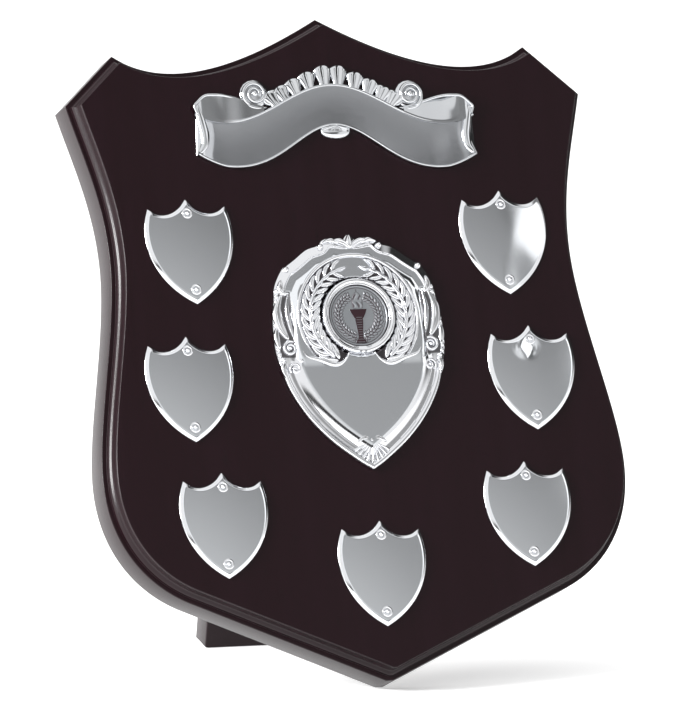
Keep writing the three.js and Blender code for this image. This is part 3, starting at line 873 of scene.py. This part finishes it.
def wreath_frame():
    """The wire round the wreath and the curled edge under each branch."""
    turn = np.linspace(1.02, 2 * np.pi - 1.02, 180)
    wire = np.stack([WIRE_RADIUS * np.sin(turn), -WIRE_RADIUS * np.cos(turn)], 1)
    fade = smoothstep(turn, 1.0, 1.2) * smoothstep(2 * np.pi - turn, 1.0, 1.2)
    edge = [(25.8, -12.6), (23.6, -15.9), (18.0, -17.6), (13.4, -19.4), (10.4, -19.5), (7.6, -17.9)]
    foot = spline(edge + [(5.4, -15.0)], 8)
    swell = 0.45 + 0.75 * np.sin(np.pi * np.linspace(0.05, 0.97, len(foot))) ** 2
    shells = [strand(wire, 0.35 + 0.55 * fade, 0.5 + 0.75 * fade, BED_HEIGHT, sink=1.0)]
    return shells + both_sides([strand(foot, swell, 0.5 + 0.9 * swell, 1.9, sink=1.0)])


def side_ornament():
    """Right flank: long curved leaves, a beaded edge, a volute and a smaller curl below it."""
    ground = 1.25
    shells = [
        leaf([(30.6, -8.6), (33.4, -2.5), (33.9, 4.0), (31.2, 10.6)], 2.1, 1.7, ground, 0.3, 9),
        leaf([(28.4, -7.6), (29.6, -1.0), (29.8, 5.0), (28.6, 10.5)], 1.15, 1.6, ground, 0.2, 9),
        leaf([(34.6, -12.5), (35.4, -7.5), (34.9, -3.0)], 1.3, 1.5, ground, 0.2),
        leaf([(27.2, -4.5), (27.9, 1.0), (27.4, 6.5)], 0.8, 1.2, ground, 0.0),
        leaf([(29.6, 9.6), (31.6, 12.6), (31.0, 16.2)], 1.5, 1.6, ground + 0.2, 0.3),
        coil((30.2, -12.3), 3.0, 0.9, 120, -1.5, 0.85, 1.5, ground),
        bead(30.2, -12.3, 0.95, 1.7, ground),
        coil((28.9, -20.7), 2.5, 0.8, -40, 1.25, 0.75, 1.3, ground),
        bead(28.9, -20.7, 0.8, 1.4, ground),
        bead(26.2, -17.6, 1.35, 1.8, ground),
        bead(33.6, -16.9, 1.15, 1.5, ground),
        leaf([(32.6, -17.4), (33.9, -20.4), (33.0, -24.6)], 1.15, 1.3, ground, 0.2),
    ]
    angles = np.arctan2(np.linspace(-15.2, 12.4, 12), 35.4)
    for x, y in crest_ring(angles) * 0.972:
        shells.append(bead(x, y, 0.95, 1.05, ground - 0.15, stretch=1.15))
    return shells


def crest_top():
    """Right half of the crest: a curled leaf beside the bud, and beads where the border steps."""
    return [
        leaf([(0.2, 28.4), (2.4, 30.6), (5.4, 31.6), (8.6, 30.6)], 1.35, 1.9, 1.7, 0.35),
        leaf([(4.6, 30.4), (8.0, 31.9), (11.6, 30.9)], 1.1, 1.3, 1.7, 0.0),
        bead(12.6, 29.4, 1.2, 1.2, 1.9),
        bead(28.4, 20.4, 1.2, 1.2, 1.9),
    ]


def tip_fan():
    """The shell at the tip: ribs spread from its heel, between two small leaves."""
    heel = np.array([0, -51.6])
    share = np.linspace(0.05, 1, 16)
    shells = []
    for angle in np.radians(np.linspace(-64, 64, 9)):
        reach = 9.9 - 1.9 * abs(math.sin(angle))
        path = heel + (reach * share)[:, None] * [math.sin(angle), -math.cos(angle)]
        arch = 1.2 * bump(share, 0.5, 0.56)
        shells.append(strand(path, 0.2 + 0.62 * share, arch, 1.5 - 0.6 * share, sink=0.8))
    shells += both_sides([leaf([(0.4, -51.0), (3.2, -50.2), (6.6, -52.2)], 1.1, 1.5, 1.5, 0.2)])
    shells.append(bead(0, -51.2, 1.1, 1.3, 1.6))
    return shells


def build_crest(material):
    """The plate and all its ornament joined, with the disc's centre at its place on the face."""
    paired = wreath_leaves() + side_ornament() + crest_top()
    bud = leaf([(0, 28.2), (-0.3, 31.0), (-0.2, 34.0)], 1.5, 2.0, 1.6, 0.3)
    shells = [crest_plate(), bud] + wreath_frame() + tip_fan() + both_sides(paired)
    shell = placed(joined(shells), 0, CREST_CENTRE * BOARD_HEIGHT, ON_FACE)
    make_piece("centre_shield_relief", shell, material, "centre_shield", 60)


# Disc


def disc_relief(x, y):
    """Height and darkening of the disc: rim, two laurel sprays and a torch, in shares of its radius; the
    darkening is patina in the hollows, and painted reflection on the torch.
    """
    radius = np.hypot(x, y)
    field = DISC_FIELD
    full = DISC_THICKNESS - field
    side = np.abs(x)
    from_bottom = np.arccos(np.clip(-y / np.maximum(radius, 1e-6), -1, 1))
    height, wash_and_painted_reflection = np.full_like(x, field), np.zeros_like(x)
    spray = smoothstep(from_bottom, 0.16, 0.22) * smoothstep(2.84 - from_bottom, 0, 0.06)
    along = from_bottom * 0.7 / 0.135
    for middle, shift, lean in ((0.61, 0.0, -0.07), (0.695, 0.5, 0.0), (0.78, 0.0, 0.07)):
        share = along + shift - np.floor(along + shift)
        across = (radius - middle - lean * (share - 0.4)) / 0.046
        body = np.sqrt(np.clip(1 - across**2 - (2 * share - 1) ** 4, 0, 1)) * spray
        height = np.maximum(height, field + 0.85 * full * body)
        outline = np.exp(-((across**2 + (2 * share - 1) ** 4 - 1.15) ** 2) / 0.3)
        wash_and_painted_reflection = np.maximum(wash_and_painted_reflection, outline * spray * (np.abs(across) < 1.7))
    foot = 0.08 + 0.1 * smoothstep(-y, 0.72, 0.9)
    stem_width = foot + 0.05 * smoothstep(y, -0.7, -0.1)
    stem = (y > -0.9) & (y < -0.08) & (side < stem_width)
    bowl_share = np.clip((y + 0.1) / 0.3, 0, 1)
    bowl = (y >= -0.1) & (y < 0.215) & (side < 0.12 + 0.17 * bowl_share**0.7)
    torch = stem | bowl
    height = np.where(torch, field + full * (0.8 - 1.5 * np.minimum(side, 0.3) ** 2), height)
    rungs = (np.sin(y * 78) > 0.55) & (side < 0.75 * stem_width) & (y < 0)
    # Painted reflection: the raised torch is darkened all over, as though it mirrored the dark
    # surroundings; its rungs are left a little lighter
    wash_and_painted_reflection = np.where(torch, 1.0 - 0.35 * rungs, wash_and_painted_reflection)
    ticks = (y < -0.72) & (side > stem_width) & (side < 0.27) & (np.sin(side * 95) > -0.1) & (y > -0.88)
    wash_and_painted_reflection = np.where(ticks, 0.75, wash_and_painted_reflection)
    flame_share = (y - 0.24) / 0.64
    flame_width = 0.19 * np.sqrt(np.clip(1 - (2 * flame_share - 0.7) ** 2, 0, 1)) * (1 - 0.3 * flame_share)
    flame = (flame_share > 0) & (flame_share < 1) & (side < flame_width)
    licks = np.cos(x * 34 + 1.6 * np.sin(y * 15)) * np.cos(y * 12 - 1.2)
    height = np.where(flame, field + full * (0.55 + 0.4 * licks), height)
    wash_and_painted_reflection = np.where(flame, smoothstep(-licks, 0.0, 0.7) * 0.75, wash_and_painted_reflection)
    flame_edge = np.exp(-(((side - flame_width) / 0.02) ** 2)) * (flame_share > 0) * (flame_share < 1)
    wash_and_painted_reflection = np.maximum(wash_and_painted_reflection, 0.65 * flame_edge)
    # A dark line just inside the rim, and the rim's outer edge darkened as well
    wash_and_painted_reflection = np.maximum(wash_and_painted_reflection, 0.85 * np.exp(-(((radius - 0.925) / 0.014) ** 2)))
    height = np.where(radius > 0.94, field + full * bump(radius, 0.972, 0.034), height)
    return height, np.maximum(wash_and_painted_reflection, smoothstep(radius, 0.975, 1.0) * 0.8)


def build_disc(material):
    """Rings about the disc's centre, raised by its relief, over a flat underside."""
    rays, steps = ((540, 150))
    angles = np.linspace(-np.pi, np.pi, rays, endpoint=False)
    share = np.linspace(1, 0, steps, endpoint=False)[:, None]
    x, y = share * np.cos(angles), share * np.sin(angles)
    height, wash_and_painted_reflection = disc_relief(x, y)
    top = stack(x * DISC_RADIUS, y * DISC_RADIUS, height)
    rings = np.concatenate([top[:1] * [1, 1, 0], top])
    wash_and_painted_reflection = np.concatenate([wash_and_painted_reflection[:1], wash_and_painted_reflection])
    floor = CREST_RELIEF - HOLDER_DEPTH - DISC_THICKNESS
    shell = ring_shell(rings, (0, 0, DISC_FIELD), wash_and_painted_reflection)
    shell = placed(shell, 0, CREST_CENTRE * BOARD_HEIGHT, ON_FACE + floor)
    make_piece("disc_relief", shell, material, "centre_disc", 60, "wash_and_painted_reflection")


# Camera, floor and light

CAMERA_AZIMUTH = -20.24
CAMERA_ELEVATION = 7.62
CAMERA_ROLL = 0.84
CAMERA_DISTANCE = 4.014
FOCAL_LENGTH_PIXELS = 9939
PHOTO_HEIGHT = 708
# Where the aim point falls in the photograph, right of and above its middle
AIM_RIGHT_PIXELS, AIM_UP_PIXELS = 8.5, 7.4
AIM = (0.0, 137.0, 17.94)


def build_camera():
    """A long lens looking at the middle of the board from its left and a little above."""
    azimuth, elevation = math.radians(CAMERA_AZIMUTH), math.radians(CAMERA_ELEVATION)
    level = math.cos(elevation)
    back = Vector((math.sin(azimuth) * level, -math.cos(azimuth) * level, math.sin(elevation)))
    right = Vector((0, 0, 1)).cross(back).normalized()
    upright = Matrix((right, back.cross(right), back)).transposed()
    rolled = upright @ Matrix.Rotation(math.radians(CAMERA_ROLL), 3, "Z")
    data = bpy.data.cameras.new("camera")
    data.sensor_width = 36
    data.lens = FOCAL_LENGTH_PIXELS * data.sensor_width / PHOTO_HEIGHT
    data.shift_x = -AIM_RIGHT_PIXELS / PHOTO_HEIGHT
    data.shift_y = -AIM_UP_PIXELS / PHOTO_HEIGHT
    data.clip_end = 50
    camera = add_object("camera", data)
    aim = Vector(leaned(np.array(AIM)).tolist())
    camera.matrix_world = Matrix.Translation(aim + back * CAMERA_DISTANCE) @ rolled.to_4x4()
    bpy.context.scene.camera = camera


def build_floor():
    """A plain pale light table, far larger than the view, just under the tip."""
    material, tree = new_material("plain white light table")
    sockets = {"Base Color": linear("#fdfdfd"), "Roughness": 1.0, "Specular IOR Level": 0.0}
    sockets.update({"Emission Color": linear("#ffffff"), "Emission Strength": 0.3})
    shader = add_node(tree, "ShaderNodeBsdfPrincipled", inputs=sockets)
    add_node(tree, "ShaderNodeOutputMaterial", inputs={"Surface": shader})
    reach, drop = 12.0, -0.0002
    corners = [(reach * x, reach * y, drop) for x, y in ((-1, -1), (1, -1), (1, 1), (-1, 1))]
    mesh = bpy.data.meshes.new("floor")
    mesh.from_pydata(corners, [], [(0, 1, 2, 3)])
    mesh.materials.append(material)
    add_object("floor", mesh)


STUDIO_BRIGHTNESS = 1.12
# Cards hung round the white studio: where each hangs, azimuth from the front and elevation, the
# two directions that its sides are square to, half its size along each, its soft edge, all in
# degrees, and how bright it is beside the studio, where None stands for the fall set below
CARDS = {
    "dark room near the horizon": ((-14, 3), (0, 102), (38, 7), 3, 0.03),
    "grey card that the flat plates see": ((20, 33), (0, 90), (20, 15), 5, None),
    "dark wall on the right": ((90, 33), (0, 90), (30, 27), 8, 0.03),
    "white box beside the grey card": ((51, 31), (60, -60), (11.7, 11.7), 0.3, 1.25),
}
# How the grey card's brightness falls upwards, and what it is multiplied by across: first and last
# value, and the elevations or azimuths in degrees where they hold
FALL_UPWARDS = (0.55, 0.24, 27, 34)
FALL_ACROSS = (1.35, 0.6, 20, 28)


def math_node(tree, operation, first, second=0.0):
    """One step of arithmetic."""
    return add_node(tree, "ShaderNodeMath", {"operation": operation}, {0: first, 1: second})


def card_share(tree, azimuth, elevation, centre, sides, half_size, soft):
    """1 on a card and 0 off it, by how far off its centre a view is along its two directions."""
    across = math_node(tree, "SUBTRACT", azimuth, centre[0])
    up = math_node(tree, "SUBTRACT", elevation, centre[1])
    share = None
    for direction, half in zip(np.radians(sides), half_size):
        sideways = math_node(tree, "MULTIPLY", across, math.cos(direction))
        upwards = math_node(tree, "MULTIPLY", up, math.sin(direction))
        away = math_node(tree, "ABSOLUTE", math_node(tree, "ADD", sideways, upwards))
        ends = {"Value": away, "From Min": half + soft, "From Max": half - soft}
        side = add_node(tree, "ShaderNodeMapRange", {"interpolation_type": "SMOOTHSTEP"}, ends)
        share = side if share is None else math_node(tree, "MULTIPLY", share, side)
    return share


def build_world():
    """White studio all round with its cards, painted by direction alone."""
    world = bpy.data.worlds.new("studio")
    bpy.context.scene.world = world
    world.use_nodes = True
    tree = world.node_tree
    tree.nodes.clear()
    direction = add_node(tree, "ShaderNodeTexCoord", output="Generated")
    axes = tree.nodes.new("ShaderNodeSeparateXYZ")
    tree.links.new(direction, axes.inputs[0])
    x, y, z = axes.outputs
    elevation = math_node(tree, "MULTIPLY", math_node(tree, "ARCSINE", z), math.degrees(1))
    forward = math_node(tree, "MULTIPLY", y, -1.0)
    azimuth = math_node(tree, "MULTIPLY", math_node(tree, "ARCTAN2", x, forward), math.degrees(1))
    upwards = between(tree, elevation, *FALL_UPWARDS)
    falling = math_node(tree, "MULTIPLY", upwards, between(tree, azimuth, *FALL_ACROSS))
    colour = (1.0, 1.0, 1.0, 1.0)
    for centre, sides, half_size, soft, grey in CARDS.values():
        share = card_share(tree, azimuth, elevation, centre, sides, half_size, soft)
        card = falling if grey is None else (grey, grey, grey, 1.0)
        colour = blend_colours(tree, share, colour, card)
    sockets = {"Color": colour, "Strength": STUDIO_BRIGHTNESS}
    background = add_node(tree, "ShaderNodeBackground", inputs=sockets)
    add_node(tree, "ShaderNodeOutputWorld", inputs={"Surface": background})


def build_light(name, place, size, power):
    """A square soft box, its place and size in metres and its power in watts, aimed at the board."""
    data = bpy.data.lights.new(name, "AREA")
    data.size = size
    data.energy = power
    light = add_object(name, data)
    light.location = place
    target = Vector((0, 0, 0.13))
    light.rotation_euler = (Vector(place) - target).to_track_quat("Z", "Y").to_euler()


build_camera()
build_floor()
build_world()
build_light("soft box left", (-2.1, -0.4, 0.85), 0.8, 100)
bpy.context.scene.view_settings.view_transform = "Standard"

wood = lacquered_mahogany()
plate = bright_plate("bright nickel-plated pressed sheet", 0.09, "#e3e6ea", "#ebeef2", "#e0e1e4")
scroll_plate = bright_plate("bright sheet with a brushed field", 0.2, "#aaacb0", "#b9bbbf", "#cfd1d4")
build_board(wood)
build_leg(wood)
build_scroll(scroll_plate)
build_crest(plate)
build_disc(antiqued_disc())
for badge, badge_place in BADGES.items():
    build_badge(badge, badge_place, plate)
    build_pins(badge, badge_place, plate)
